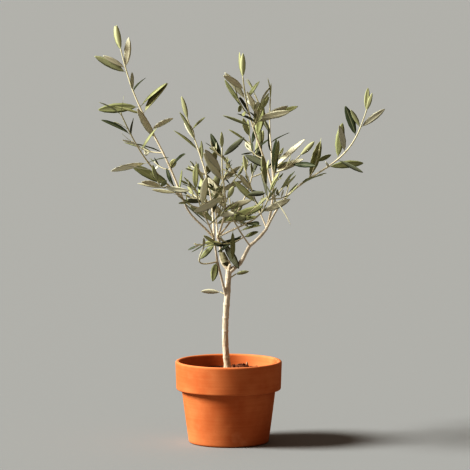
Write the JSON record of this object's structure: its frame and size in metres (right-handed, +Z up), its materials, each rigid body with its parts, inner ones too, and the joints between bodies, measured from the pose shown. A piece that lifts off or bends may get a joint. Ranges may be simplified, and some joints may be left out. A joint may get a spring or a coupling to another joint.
{
  "type": "potted olive tree",
  "caption": "Young olive tree with an open crown of narrow leaves on slender boughs, growing in a soil-filled terracotta pot.",
  "frame": {"origin": "centre of the pot's flat underside", "axes": "+Z up along the trunk, +X to the right and +Y to the back as the picture shows the tree"},
  "size_m": [0.4111, 0.2829, 0.5938],
  "materials": {
    "terracotta": "unglazed fired clay, matt, with faint turning rings and pale bloom",
    "soil": "moist crumbly potting soil",
    "bark": "smooth young grey-cream bark with small pores and fine cracks",
    "foliage": "leathery grey-green leaves, silvery underneath"
  },
  "bodies": {
    "root": {"terracotta_pot": "terracotta", "potting_soil": "soil", "trunk": "bark", "left_bough": "bark", "right_bough": "bark", "right_middle_bough": "bark", "right_upper_bough": "bark", "side_shoot": "bark", "side_middle_shoot": "bark", "side_upper_shoot": "bark", "far_left_foliage": "foliage", "near_left_foliage": "foliage", "back_left_foliage": "foliage", "left_centre_foliage": "foliage", "centre_front_foliage": "foliage", "crossing_foliage": "foliage", "back_foliage": "foliage", "inner_foliage": "foliage", "top_middle_foliage": "foliage", "back_right_foliage": "foliage", "dark_cluster_foliage": "foliage", "far_right_foliage": "foliage", "lower_centre_foliage": "foliage", "right_centre_foliage": "foliage", "left_cluster_sprig": "foliage", "hooked_sprig": "foliage", "low_left_sprig": "foliage", "hanging_sprig": "foliage", "fork_sprig": "foliage", "trunk_sprig": "foliage"}
  },
  "joints": []
}
